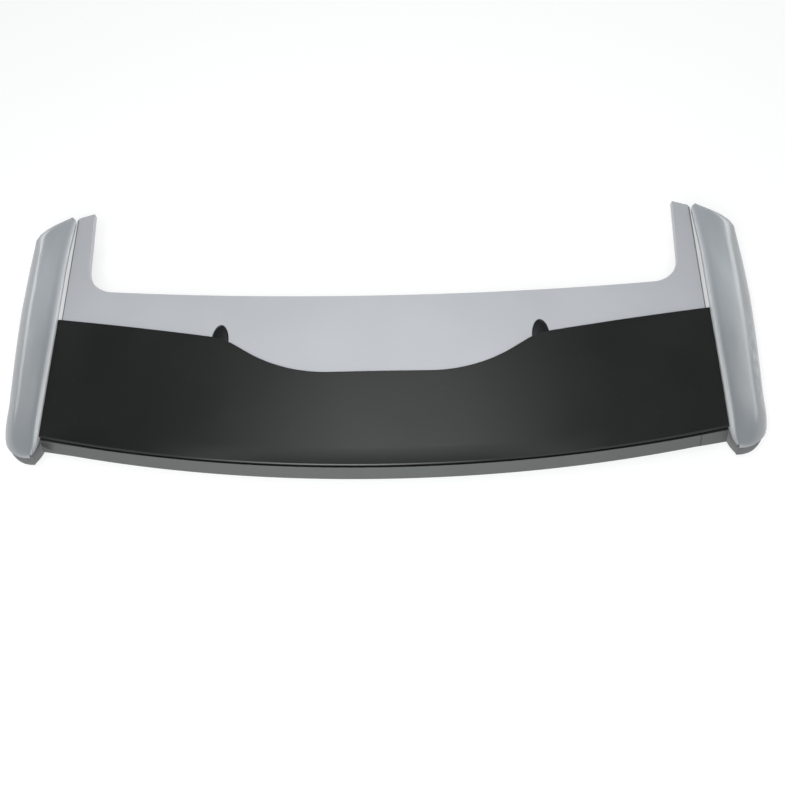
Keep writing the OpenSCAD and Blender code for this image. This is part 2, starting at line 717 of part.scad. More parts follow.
module fin_screws() {
    color(zinc) for (s = [0, 1], y = fin_screw_ys) mirror([s, 0, 0])
        translate([shell_x - shell_t, y, fin_screw_z]) rotate([0, 90, 0]) {
            translate([0, 0, -screw_head_h]) cylinder(h = screw_head_h, r = screw_head_r);
            translate([0, 0, -1]) cylinder(h = screw_l, r = screw_r);
        }
}

module panel_retainers() {
    color(zinc) for (p = panel_pin_places)
        translate([p[0], p[1], surface_z(p[0]) - retainer_drop - retainer_t]) difference() {
            cylinder(h = retainer_t, r = retainer_r);
            translate([0, 0, -1]) cylinder(h = retainer_t + 2, r = panel_pin_r + 0.05);
        }
}

upper_shell();
lower_shell();
centre_panel();
mirror([1, 0, 0]) fin_skin();  // left_fin_skin
fin_skin();  // right_fin_skin
mirror([1, 0, 0]) fin_backing();  // left_fin_backing
fin_backing();  // right_fin_backing
mirror([1, 0, 0]) fin_end();  // left_fin_end
fin_end();  // right_fin_end
mirror([1, 0, 0]) filler_strip();  // left_filler_strip
filler_strip();  // right_filler_strip
oval_plug(-1);  // left_oval_plug
oval_plug(1);  // right_oval_plug
front_seal();
mirror([1, 0, 0]) horn_seal();  // left_horn_seal
horn_seal();  // right_horn_seal
mounting_studs();
stud_seals();
locating_pins();
shell_screws();
fin_screws();
panel_retainers();
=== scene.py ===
"""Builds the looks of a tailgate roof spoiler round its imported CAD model.

Everything is in metres, in the CAD model's frame: +X is the car's right, +Y points forwards
and +Z up, with the origin on the floor under the middle of the part.
"""

from functools import partialmethod
from math import asin, atan, atan2, cos, degrees, hypot, pi, radians, sin, sqrt, tan

import bmesh
import bpy
from bmesh.types import BMEdge, BMFace, BMVert
from bpy.props import FloatProperty, FloatVectorProperty, IntProperty, PointerProperty
from mathutils import Matrix, Vector


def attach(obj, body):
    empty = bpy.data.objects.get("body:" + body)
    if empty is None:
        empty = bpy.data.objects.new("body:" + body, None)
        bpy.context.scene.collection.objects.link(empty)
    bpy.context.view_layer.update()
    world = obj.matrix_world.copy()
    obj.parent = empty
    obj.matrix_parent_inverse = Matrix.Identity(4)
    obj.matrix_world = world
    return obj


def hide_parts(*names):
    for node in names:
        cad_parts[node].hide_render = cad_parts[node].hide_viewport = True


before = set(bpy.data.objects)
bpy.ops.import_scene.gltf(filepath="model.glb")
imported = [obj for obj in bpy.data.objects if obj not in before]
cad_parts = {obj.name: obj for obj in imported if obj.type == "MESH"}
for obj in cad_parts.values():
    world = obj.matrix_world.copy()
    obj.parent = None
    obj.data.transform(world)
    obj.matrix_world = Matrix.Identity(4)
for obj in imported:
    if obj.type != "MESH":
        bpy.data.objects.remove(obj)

bl_info = {
    "name": "Roof spoiler",
    "version": (1, 0, 0),
    "blender": (4, 5, 0),
    "location": "View3D > Sidebar > Spoiler",
    "description": "Models and finishes a tailgate roof spoiler round its CAD parts",
    "category": "Object",
}

SIDES = {"left": -1, "right": 1}

# Steps round a plug's opening and a plug, and along the fins, their rear ends and the strips
OPENING_STEPS, PLUG_STEPS = 48, 64
FIN_STEPS, END_STEPS, STRIP_STEPS = 40, 20, 24

# Rounding of the edges of deck, panel, strips and plugs, and the chamfer of the panel's rear edge
DECK_ROUND, PANEL_ROUND, STRIP_ROUND, PLUG_ROUND = 0.0011, 0.0009, 0.0007, 0.0005
PANEL_CHAMFER = 0.0024

# A strip's top below the deck's, its thickness, its end behind the fin's tip and its facets' width
STRIP_SINK, STRIP_DEPTH, STRIP_END, STRIP_FACET = 0.0002, 0.0078, 0.004, 0.004

# A plug's face: width and depth of each inset, then shrinking and rise of each step of the dome
PLUG_INSETS = ((0.0007, 0.0), (0.0012, 0.0), (0.0006, -0.0006))
PLUG_DOME = ((0.85, 0.0005), (0.78, 0.0003), (0.66, 0.00015), (0.5, 0.00005))

# Cosines above which a face lies on the crown, and a rounded edge meets it
ON_CROWN, MEETS_CROWN = 0.9995, 0.8

# Softboxes: name, place, aim, width and height, power in watts, spread in degrees
SOFTBOXES = (
    ("key", (-0.1, -0.8, 1.5), (0.0, 0.0, 0.1), (0.9, 0.9), 23.5, 180),
    ("centre", (0.0, 0.52, 2.4), (0.0, -0.1, 0.1), (1.4, 0.85), 13.0, 180),
    ("left_low", (-2.9, 1.6, 0.45), (0.0, 0.0, 0.15), (1.6, 0.5), 3.4, 110),
    ("right_low", (2.9, 1.6, 0.75), (0.0, 0.0, 0.15), (2.0, 0.8), 6.2, 110),
)


# Settings


def length(name, text, default):
    """A size in metres for the sidebar."""
    return FloatProperty(name=name, description=text, default=default, min=0.0, unit="LENGTH",
                         subtype="DISTANCE", precision=4)


def number(name, text, default, low=0.0):
    """A plain number for the sidebar."""
    return FloatProperty(name=name, description=text, default=default, min=low)


def point(name, text, default):
    """A place in metres for the sidebar."""
    return FloatVectorProperty(name=name, description=text, default=default, size=3,
                               subtype="TRANSLATION")


def colour(name, text, default):
    """A colour for the sidebar."""
    return FloatVectorProperty(name=name, description=text, default=default, size=3,
                               subtype="COLOR", min=0.0, max=1.0)


class SpoilerSizes(bpy.types.PropertyGroup):
    """Sizes of the spoiler's visible pieces."""

    deck_width: length("Deck width", "Width over the outer edges of the two horns", 1.102)
    body_depth: length("Depth", "From the horn tips to the trailing edge", 0.52)
    deck_height: length("Deck height", "Top of the deck on the centreline above the floor", 0.13)
    crown_radius: length("Crown radius", "Radius of the deck's crown across the car", 3.6)
    skin: length("Skin", "Wall of the deck, the panel and the fins", 0.003)
    flange: length("Flange", "Depth of the return flange round the deck", 0.012)
    roof_cut: length("Roof cut-out", "From the horn tips to the deck's front edge", 0.204)
    roof_radius: length("Roof edge radius", "Radius of the deck's front edge in plan", 3.18)
    roof_corner: length("Corner radius", "Radius of the cut-out's two corners", 0.057)
    horn_root: length("Horn root", "Width of a horn at its root", 0.04)
    horn_tip: length("Horn tip", "Width of a horn at its tip", 0.0295)
    horn_slant: length("Horn slant", "Outer corner of a horn behind its inner corner", 0.006)
    panel_set_back: length("Panel set-back", "From the deck's front edge to the panel's", 0.141)
    wave_flat: length("Wave flat", "Half the straight middle of the panel's front edge", 0.08)
    wave_valley: length("Wave hollow", "Radius of the hollow of the wave", 0.25)
    wave_flank: length("Wave flank", "Straight stretch on the wave's flank", 0.027)
    wave_crest: length("Wave shoulder", "Radius of the shoulder of the wave", 0.12)
    rear_radius: length("Rear radius", "Radius of the trailing edge in plan", 2.2)
    lip_height: length("Lip height", "Trailing edge's lower corner below the deck's top", 0.02)
    lip_gap: length("Lip joint", "Open joint between the panel and the lip", 0.0025)
    fin_gap: length("Fin joint", "From a horn's outer edge to the fin", 0.009)
    fin_width: length("Fin width", "Width of a side fin", 0.095)
    fin_rise: length("Fin rise", "Fin's inner edge above the deck", 0.007)
    fin_nose: length("Fin nose", "Length of the fin's slanted nose", 0.042)
    fin_tail: length("Fin tail", "Fin's rear end ahead of the trailing edge", 0.056)
    tail_lift: length("Tail lift", "Height of the fin's lower edge at its rear end", 0.038)
    plug_half_width: length("Plug half width", "Half the width of an oval plug", 0.0145)
    plug_half_length: length("Plug half length", "Half the length of an oval plug", 0.0315)
    plug_x: length("Plug place", "Plug's middle from the centreline", 0.2655)
    plug_set_back: length("Plug set-back", "Plug's middle behind the deck's front edge", 0.077)
    plug_sink: length("Plug depth", "Plug's rim below the deck's top", 0.0004)
    plug_lip: length("Plug lip", "Width and thickness of the lip under the deck", 0.002)
    seat_gap: length("Seat gap", "Clearance between pieces seated on each other", 0.0003)
    strip_spacing: length("Facet width", "Width of the facets that follow the crown", 0.012)


class SpoilerFinishes(bpy.types.PropertyGroup):
    """Colours of the spoiler's finishes."""

    deck: colour("Deck", "Satin blue-grey primer", (0.468, 0.485, 0.514))
    fin: colour("Fins", "Glossy silver-grey paint", (0.318, 0.345, 0.368))
    panel: colour("Panel", "Satin black", (0.0055, 0.0066, 0.0063))
    lip: colour("Lip", "Moulded grey", (0.098, 0.106, 0.102))
    moulding: colour("Mouldings", "Unpainted grey of the fins' rear ends", (0.105, 0.112, 0.112))
    # Strips: pale tone, partly their own colour and partly painted light, so that they read bright
    strip: colour("Strips", "Pale satin", (0.74, 0.755, 0.765))
    plug: colour("Plugs", "Fine-grained black", (0.0025, 0.003, 0.0042))
    foam: colour("Foam", "Closed-cell foam", (0.018, 0.018, 0.018))
    zinc: colour("Zinc", "Zinc-plated steel", (0.56, 0.56, 0.53))


class StageSettings(bpy.types.PropertyGroup):
    """Camera, floor and light."""

    camera_place: point("Camera", "Place of the camera", (0.062, -0.696, 1.429))
    camera_aim: point("Aim", "Point that the camera looks at", (0.0213, -0.1225, 0.13))
    camera_roll: FloatProperty(name="Roll", description="Turn about the camera's line of sight",
                               default=radians(-1.135), subtype="ANGLE")
    camera_lens: number("Lens", "Focal length in mm on a 36 mm sensor", 40.893, 10.0)
    floor_size: length("Floor", "Side of the square floor", 24.0)
    floor_colour: colour("Floor colour", "Plain pale floor", (0.36, 0.365, 0.37))
    horizon: number("Horizon", "Strength of the surround near the horizon", 0.75)
    zenith: number("Zenith", "Strength of the surround overhead", 0.06)
    backdrop: number("Backdrop", "Strength of the surround as the camera sees it", 0.86)
    floor_glow: number("Floor glow", "Light that the backlit floor gives", 0.72)
    light: number("Light", "Factor on the power of all the softboxes", 1.0)
    steps: IntProperty(name="Curve steps", description="Steps along each long curve",
                       default=28, min=8)


# Shader nodes


class Sock:
    """A socket of a material's tree; Python operators on it add Math nodes."""

    def __init__(self, tree, socket):
        self.tree, self.socket = tree, socket

    def _math(self, operation, *others):
        """A Math node's value, with this socket first."""
        return self.tree.node("Math", self, *others, operation=operation)["Value"]

    def _last(self, operation, other):
        """The same with this socket last."""
        return self.tree.node("Math", other, self, operation=operation)["Value"]

    __add__, __radd__ = partialmethod(_math, "ADD"), partialmethod(_last, "ADD")
    __sub__, __rsub__ = partialmethod(_math, "SUBTRACT"), partialmethod(_last, "SUBTRACT")
    __mul__, __rmul__ = partialmethod(_math, "MULTIPLY"), partialmethod(_last, "MULTIPLY")
    __truediv__ = partialmethod(_math, "DIVIDE")

    def clamp(self, low=0.0, high=1.0):
        """The value held between two limits."""
        return self._math("MAXIMUM", low)._math("MINIMUM", high)

    def step(self, edge, width):
        """0 below edge and 1 above it, with a soft change that is width long."""
        return ((self - edge) / width + 0.5).clamp()

    def power(self, exponent):
        """The value to a power."""
        return self._math("POWER", exponent)

    def size(self):
        """The value without its sign."""
        return self._math("ABSOLUTE")


class Finish:
    """A material's node tree, with a Principled shader at its end."""

    def __init__(self, name):
        self.material = bpy.data.materials.new(name)
        self.material.use_nodes = True
        self.nodes, self.links = self.material.node_tree.nodes, self.material.node_tree.links
        self.nodes.clear()
        end = self.nodes.new("ShaderNodeOutputMaterial")
        self.shader = self.nodes.new("ShaderNodeBsdfPrincipled")
        self.links.new(self.shader.outputs["BSDF"], end.inputs["Surface"])
        self.place = self.node("TexCoord")["Object"]
        parts = self.node("SeparateXYZ", self.place)
        self.x, self.y, self.z = parts["X"], parts["Y"], parts["Z"]

    def feed(self, node, key, value):
        """Links a socket to an input of a node, or sets the input's own value."""
        socket = node.inputs[key]
        if isinstance(value, Sock):
            self.links.new(value.socket, socket)
        else:
            socket.default_value = (*value, 1.0) if socket.type == "RGBA" else value

    def node(self, kind, *values, **named):
        """A node's outputs by name. Lower-case names are its settings, the others its inputs."""
        made = self.nodes.new("ShaderNode" + kind)
        for key, value in named.items():
            if key.islower():
                setattr(made, key, value)
            else:
                self.feed(made, key, value)
        for index, value in enumerate(values):
            self.feed(made, index, value)
        return {output.name: Sock(self, output) for output in made.outputs}

    def noise(self, scale, detail=2.0, stretch=None, roughness=0.5):
        """Noise from about 0 to 1, with scale features to a metre, stretched by three factors."""
        place = self.place
        if stretch:
            place = self.node("Mapping", Vector=place, Scale=stretch)["Vector"]
        return self.node("TexNoise", Vector=place, Scale=scale, Detail=detail,
                         Roughness=roughness)["Fac"]

    def cells(self, scale, feature="F1"):
        """A Voronoi texture with scale cells to a metre."""
        return self.node("TexVoronoi", feature=feature, Vector=self.place, Scale=scale)

    def lot(self, cells):
        """A value from 0 to 1 that differs from cell to cell."""
        return self.node("SeparateColor", cells["Color"])["Red"]

    def specks(self, scale, radius, kept):
        """1 in small round specks, kept being the share of the cells that have one."""
        cells = self.cells(scale)
        lot = self.lot(cells)
        return (1.0 - cells["Distance"].step(radius, radius * 0.5)) * (1.0 - lot.step(kept, 0.001))

    def mix(self, share, first, second):
        """Two colours mixed."""
        made = self.nodes.new("ShaderNodeMix")
        made.data_type = "RGBA"
        # The node's sockets for the factor and for colours
        for index, value in ((0, share), (6, first), (7, second)):
            self.feed(made, index, value)
        return Sock(self, made.outputs[2])

    def bump(self, height, distance, strength=1.0, over=None):
        """A normal that height raises by distance."""
        named = {"Height": height, "Distance": distance, "Strength": strength}
        if over is not None:
            named["Normal"] = over
        return self.node("Bump", **named)["Normal"]

    def shade(self, **inputs):
        """Sets or links inputs of the shader and returns the material."""
        for key, value in inputs.items():
            self.feed(self.shader, key.replace("_", " "), value)
        return self.material


def tint(tone, factor):
    """A colour made lighter or darker."""
    return tuple(min(1.0, channel * factor) for channel in tone)


# Materials


def primer_finish(tone):
    """Satin primer: an even grey with fine grain, slight mottling and paler worn edges."""
    f = Finish("satin_primer")
    cloud = f.noise(5.0, 3.0)
    fine = f.noise(900.0)
    scuffs = f.noise(60.0, 4.0, (1.0, 9.0, 1.0)).step(0.64, 0.08)
    base = f.mix((cloud - 0.3).clamp() * 1.6, tint(tone, 0.94), tint(tone, 1.06))
    base = f.mix(scuffs * 0.10, base, tint(tone, 1.25))
    specks = f.specks(38.0, 0.03, 0.05)
    base = f.mix(specks * 0.5, base, tint(tone, 0.6))
    return f.shade(Base_Color=base, Roughness=0.42 + cloud * 0.12,
                   Normal=f.bump(fine, 0.00002, 0.5))


def ahead_of(f, plan, y):
    """Distance ahead of the line beside the trailing edge that crosses the centreline at y."""
    return f.y - f.x * f.x / (2 * plan.s.rear_radius) - y


def joint_line(f, form):
    """Distance from the centreline to the line along which a fin meets its strip."""
    turn = ((f.y - form.turn_y) / (form.tip_y - form.turn_y)).clamp().power(1.5)
    return form.plan.fin_x - turn * (form.plan.fin_x - form.tip_x)


def paint_finish(tone, form):
    """Glossy paint with slow waves in its clear coat, nicks, and painted highlights and shade."""
    f = Finish("silver_paint")
    flow = f.noise(13.0, 1.5, (1.6, 0.7, 1.6))
    cloud = f.noise(4.0)
    flake = f.noise(1400.0, 1.0)
    # Painted shade: darker towards the rear
    rear = 1.0 - (f.y + 0.02).step(0.0, 0.46)
    base = f.mix(cloud.clamp(), tint(tone, 0.97), tint(tone, 1.05))
    base = f.mix(rear * 0.85, base, tint(tone, 0.62))
    base = f.mix((flake - 0.45).clamp() * 0.35, base, tint(tone, 1.3))
    nicks = f.specks(26.0, 0.035, 0.05)
    base = f.mix(nicks * 0.6, base, tint(tone, 0.55))
    # Painted highlights: a pale band along the inner edge and a lighter front
    edge = (1.0 - (f.x.size() - joint_line(f, form)) / 0.0105).clamp().power(2.6)
    ahead = f.y.step(0.06, 0.14)
    base = f.mix(edge * f.y.step(-0.185, 0.04) * 0.88, base, (0.74, 0.75, 0.76))
    base = f.mix(ahead * 0.5, base, tint(tone, 1.3))
    # Painted shade outside the crease, and a patch of ripples on the right fin
    out = f.x.size() - form.plan.fin_x
    side = out.step(0.062, 0.008)
    patch = f.y.step(-0.13, 0.06) * (1.0 - f.y.step(0.03, 0.06)) * f.x.step(0.0, 0.01)
    patch = patch * side * (1.0 - out.step(0.082, 0.008))
    base = f.mix(side * 0.5, base, tint(tone, 0.7))
    ripples = f.noise(75.0, 3.0, (1.5, 0.6, 1.0), 0.55)
    # Painted highlight: the ripples lighten the paint, over a real bump of the same ripples
    base = f.mix(patch * (ripples - 0.42).clamp() * 1.5, base, tint(tone, 1.9))
    waves = f.bump(ripples * patch, 0.0025, 1.0, f.bump(flow, 0.004, 0.7))
    return f.shade(Base_Color=base, Roughness=0.32 + cloud * 0.06 + nicks * 0.2,
                   Normal=waves, Coat_Weight=0.5, Coat_Roughness=0.14)


def panel_finish(tone, plan):
    """Satin black: orange peel, faint haze, dust specks and a slight roll at the rear edge."""
    f = Finish("satin_black")
    peel = f.noise(420.0)
    haze = f.noise(7.0, 4.0)
    wipes = f.noise(30.0, 3.0, (0.5, 5.0, 1.0))
    dust = f.specks(90.0, 0.045, 0.05)
    base = f.mix((haze - 0.35).clamp() * 0.9, tone, tint(tone, 1.9))
    base = f.mix(dust * 0.55, base, (0.22, 0.23, 0.23))
    # The last 28 mm roll down and are blurred in the middle
    from_edge = ahead_of(f, plan, plan.panel_rear)
    roll = (1.0 - from_edge / 0.028).clamp()
    blur = 0.5 - f.x.size().step(0.26, 0.2) * 0.5
    rolled = f.bump(0.0 - roll * roll, 0.0006)
    # Painted highlight: a pale line along the chamfer, strongest near the middle
    line = from_edge.step(0.0003, 0.0003) * (1.0 - from_edge.step(0.0018, 0.0004))
    middle = 1.0 - (f.x + 0.07).size().step(0.15, 0.20)
    base = f.mix(line * (0.05 + 0.95 * middle), base, (0.14, 0.148, 0.148))
    rough = 0.30 + haze * 0.14 + wipes * 0.05 + dust * 0.3 + roll * blur
    return f.shade(Base_Color=base, Roughness=rough.clamp(),
                   Normal=f.bump(peel, 0.00004, 0.5, rolled))


def moulded_finish(name, tone, scale=700.0, rough=0.55):
    """Moulded plastic with an etched grain."""
    f = Finish(name)
    grain = f.cells(scale, "SMOOTH_F1")["Distance"]
    cloud = f.noise(9.0, 3.0)
    marks = f.noise(80.0, 3.0, (0.4, 6.0, 6.0)).step(0.66, 0.06)
    base = f.mix(cloud.clamp(), tint(tone, 0.9), tint(tone, 1.1))
    base = f.mix(marks * 0.18, base, tint(tone, 1.5))
    return f.shade(Base_Color=base, Roughness=rough + cloud * 0.12,
                   Normal=f.bump(grain, 0.00006, 0.6))


def lip_finish(tone, plan):
    """Grey trailing lip, a faint seam where its two mouldings meet, and painted shade in its
    groove.
    """
    f = Finish("lip_grey")
    fine = f.noise(800.0)
    cloud = f.noise(9.0, 3.0)
    marks = f.noise(90.0, 3.0, (0.3, 5.0, 5.0)).step(0.66, 0.05)
    seam = 1.0 - (f.x - 0.512).size().step(0.0008, 0.0005)
    base = f.mix(cloud.clamp(), tint(tone, 0.9), tint(tone, 1.12))
    base = f.mix(marks * 0.2, base, tint(tone, 1.5))
    base = f.mix(seam * 0.8, base, tint(tone, 0.25))
    # Painted shade: near-black below the joint, down to 12 mm under the deck's top
    ahead = ahead_of(f, plan, plan.panel_rear - plan.s.lip_gap + 0.0006)
    depth = plan.s.deck_height - f.x * f.x / (2 * plan.s.crown_radius) - f.z
    groove = ahead.step(0.0, 0.0003) * (1.0 - depth.step(0.012, 0.001))
    base = f.mix(groove, base, (0.004, 0.004, 0.004))
    return f.shade(Base_Color=base, Roughness=0.40 + cloud * 0.14 + groove * 0.3,
                   Normal=f.bump(fine * 0.1 - seam, 0.0004, 0.8))


def strip_finish(tone, form):
    """Pale satin strip, partly painted light, with a little dirt and painted shade at both joints.
    """
    f = Finish("strip_pale")
    dirt = f.noise(45.0, 4.0, (3.0, 0.6, 3.0)).step(0.62, 0.14)
    # The pale tone is partly the strip's own colour and partly painted light
    base = f.mix(dirt * 0.22, tone, tint(tone, 0.72))
    # Painted shade along both joints, by the horn's edge and by the fin
    inner_joint_shade = 1.0 - (f.x.size() - form.plan.half).step(0.0013, 0.0008)
    outer_joint_shade = 1.0 - (joint_line(f, form) - f.x.size()).step(0.0011, 0.0008)
    base = f.mix((inner_joint_shade * 0.85 + outer_joint_shade * 0.6).clamp(), base, tint(tone, 0.12))
    return f.shade(Base_Color=base, Roughness=0.34 + dirt * 0.2,
                   Normal=f.bump(f.noise(300.0), 0.00005, 0.5))


def foam_finish(tone):
    """Closed-cell foam: small pits all over."""
    f = Finish("foam_black")
    cells = f.cells(620.0)["Distance"]
    base = f.mix(cells.clamp(), tint(tone, 1.8), tint(tone, 0.7))
    return f.shade(Base_Color=base, Roughness=0.9, Normal=f.bump(cells, 0.0004, 0.8))


def zinc_finish(tone):
    """Zinc plating with its crystalline patches and fine scratches."""
    f = Finish("zinc_plate")
    lot = f.lot(f.cells(520.0))
    scratch = f.noise(500.0, 2.0, (8.0, 1.0, 1.0))
    base = f.mix(lot, tint(tone, 0.82), tint(tone, 1.1))
    return f.shade(Base_Color=base, Metallic=1.0, Roughness=0.28 + lot * 0.16 + scratch * 0.1,
                   Normal=f.bump(scratch, 0.00003, 0.5))


# Outlines in plan


def arc(centre, radius, start, end, steps):
    """Points of an arc between two angles in degrees."""
    turns = [radians(start + (end - start) * k / steps) for k in range(steps + 1)]
    return [(centre[0] + radius * cos(a), centre[1] + radius * sin(a)) for a in turns]


def whole(half):
    """A right half outline and its mirror image, with the centreline's points once."""
    return half + [(-x, y) for x, y in reversed(half) if abs(x) > 1e-7]


class Plan:
    """The spoiler's outlines in plan, worked out from the sizes, s."""

    # Rearward run of the lip's face for each metre that it drops
    lip_slope = 0.75
    # Angles of the panel's front edge in degrees, at its steepest and outside the shoulder
    steep, side = 33.4, 11.3
    # Steps of the cut-out's corners, the hollows and the shoulders
    corner_steps, valley_steps, crest_steps = 16, 20, 10

    def __init__(self, sizes, steps):
        self.s, self.steps = sizes, steps
        self.half = sizes.deck_width / 2
        self.front = sizes.body_depth / 2
        self.rear = -self.front
        self.roof_y = self.front - sizes.roof_cut
        top_drop = sizes.skin + sizes.seat_gap
        self.panel_rear = self.rear + self.lip_slope * (sizes.lip_height - top_drop) + sizes.lip_gap
        self.panel_mid = self.roof_y - sizes.panel_set_back
        self.deck_rear = self.panel_rear + sizes.skin + 2 * sizes.seat_gap
        self.fin_x = self.half + sizes.fin_gap
        self.panel_half = self.fin_x - 0.002
        self.plug_y = self.roof_y - sizes.plug_set_back

    def crown(self, x):
        """Height of the deck's top at a distance from the centreline."""
        r = self.s.crown_radius
        return self.s.deck_height - r + sqrt(r * r - x * x)

    def crown_normal(self, x):
        """Direction square to the crown at a distance from the centreline."""
        return Vector((x, 0, sqrt(self.s.crown_radius ** 2 - x * x))) / self.s.crown_radius

    def rear_y(self, x, y):
        """A line parallel to the trailing edge that crosses the centreline at y."""
        r = self.s.rear_radius
        return y + r - sqrt(r * r - x * x)

    def rear_arc(self, x, y):
        """Right half of that line, from the centreline to x."""
        r = self.s.rear_radius
        return arc((0, y + r), r, -90, degrees(asin(x / r)) - 90, self.steps)

    def deck(self):
        """Outline of the deck, counter-clockwise from the middle of its rear edge."""
        s = self.s
        lean = atan((s.horn_root - s.horn_tip) / s.roof_cut)
        along, inwards = Vector((sin(lean), cos(lean))), Vector((-cos(lean), sin(lean)))
        root = Vector((self.half - s.horn_root, self.roof_y))
        roof_centre = Vector((0, self.roof_y + s.roof_radius))
        off = root + s.roof_corner * inwards - roof_centre
        reach = s.roof_radius - s.roof_corner
        run = -off.dot(along) - sqrt(off.dot(along) ** 2 - off.dot(off) + reach ** 2)
        corner = root + s.roof_corner * inwards + run * along
        to_corner = corner - roof_centre
        end = degrees(atan2(to_corner.y, to_corner.x))
        tip = root + s.roof_cut / cos(lean) * along
        half = self.rear_arc(self.half, self.deck_rear)
        half += [(self.half, self.front - s.horn_slant), tuple(tip)]
        half += arc(corner, s.roof_corner, -degrees(lean), end, self.corner_steps)
        half += arc(roof_centre, s.roof_radius, end, -90, self.steps)[1:]
        return whole(half)

    def wave(self, x):
        """Right half of the panel's front edge, from the centreline to x."""
        s, steep = self.s, radians(self.steep)
        crest_x = s.wave_flat + s.wave_valley * sin(steep) + s.wave_flank * cos(steep)
        crest_y = self.panel_mid + s.wave_valley * (1 - cos(steep)) + s.wave_flank * sin(steep)
        points = [(0.0, self.panel_mid)]
        points += arc((s.wave_flat, self.panel_mid + s.wave_valley), s.wave_valley,
                      -90, -90 + self.steep, self.valley_steps)
        points += arc((crest_x + s.wave_crest * sin(steep), crest_y - s.wave_crest * cos(steep)),
                      s.wave_crest, 90 + self.steep, 90 + self.side, self.crest_steps)
        side_x, side_y = points[-1]
        points.append((x, side_y + (x - side_x) * tan(radians(self.side))))
        return points

    def panel(self):
        """Outline of the centre panel, counter-clockwise from the middle of its rear edge."""
        front = self.wave(self.panel_half)
        return whole(self.rear_arc(self.panel_half, self.panel_rear) + front[::-1])


# Side fin sections


def share(value, start, end):
    """How far value has gone from start to end, held between 0 and 1."""
    return min(1.0, max(0.0, (value - start) / (end - start)))


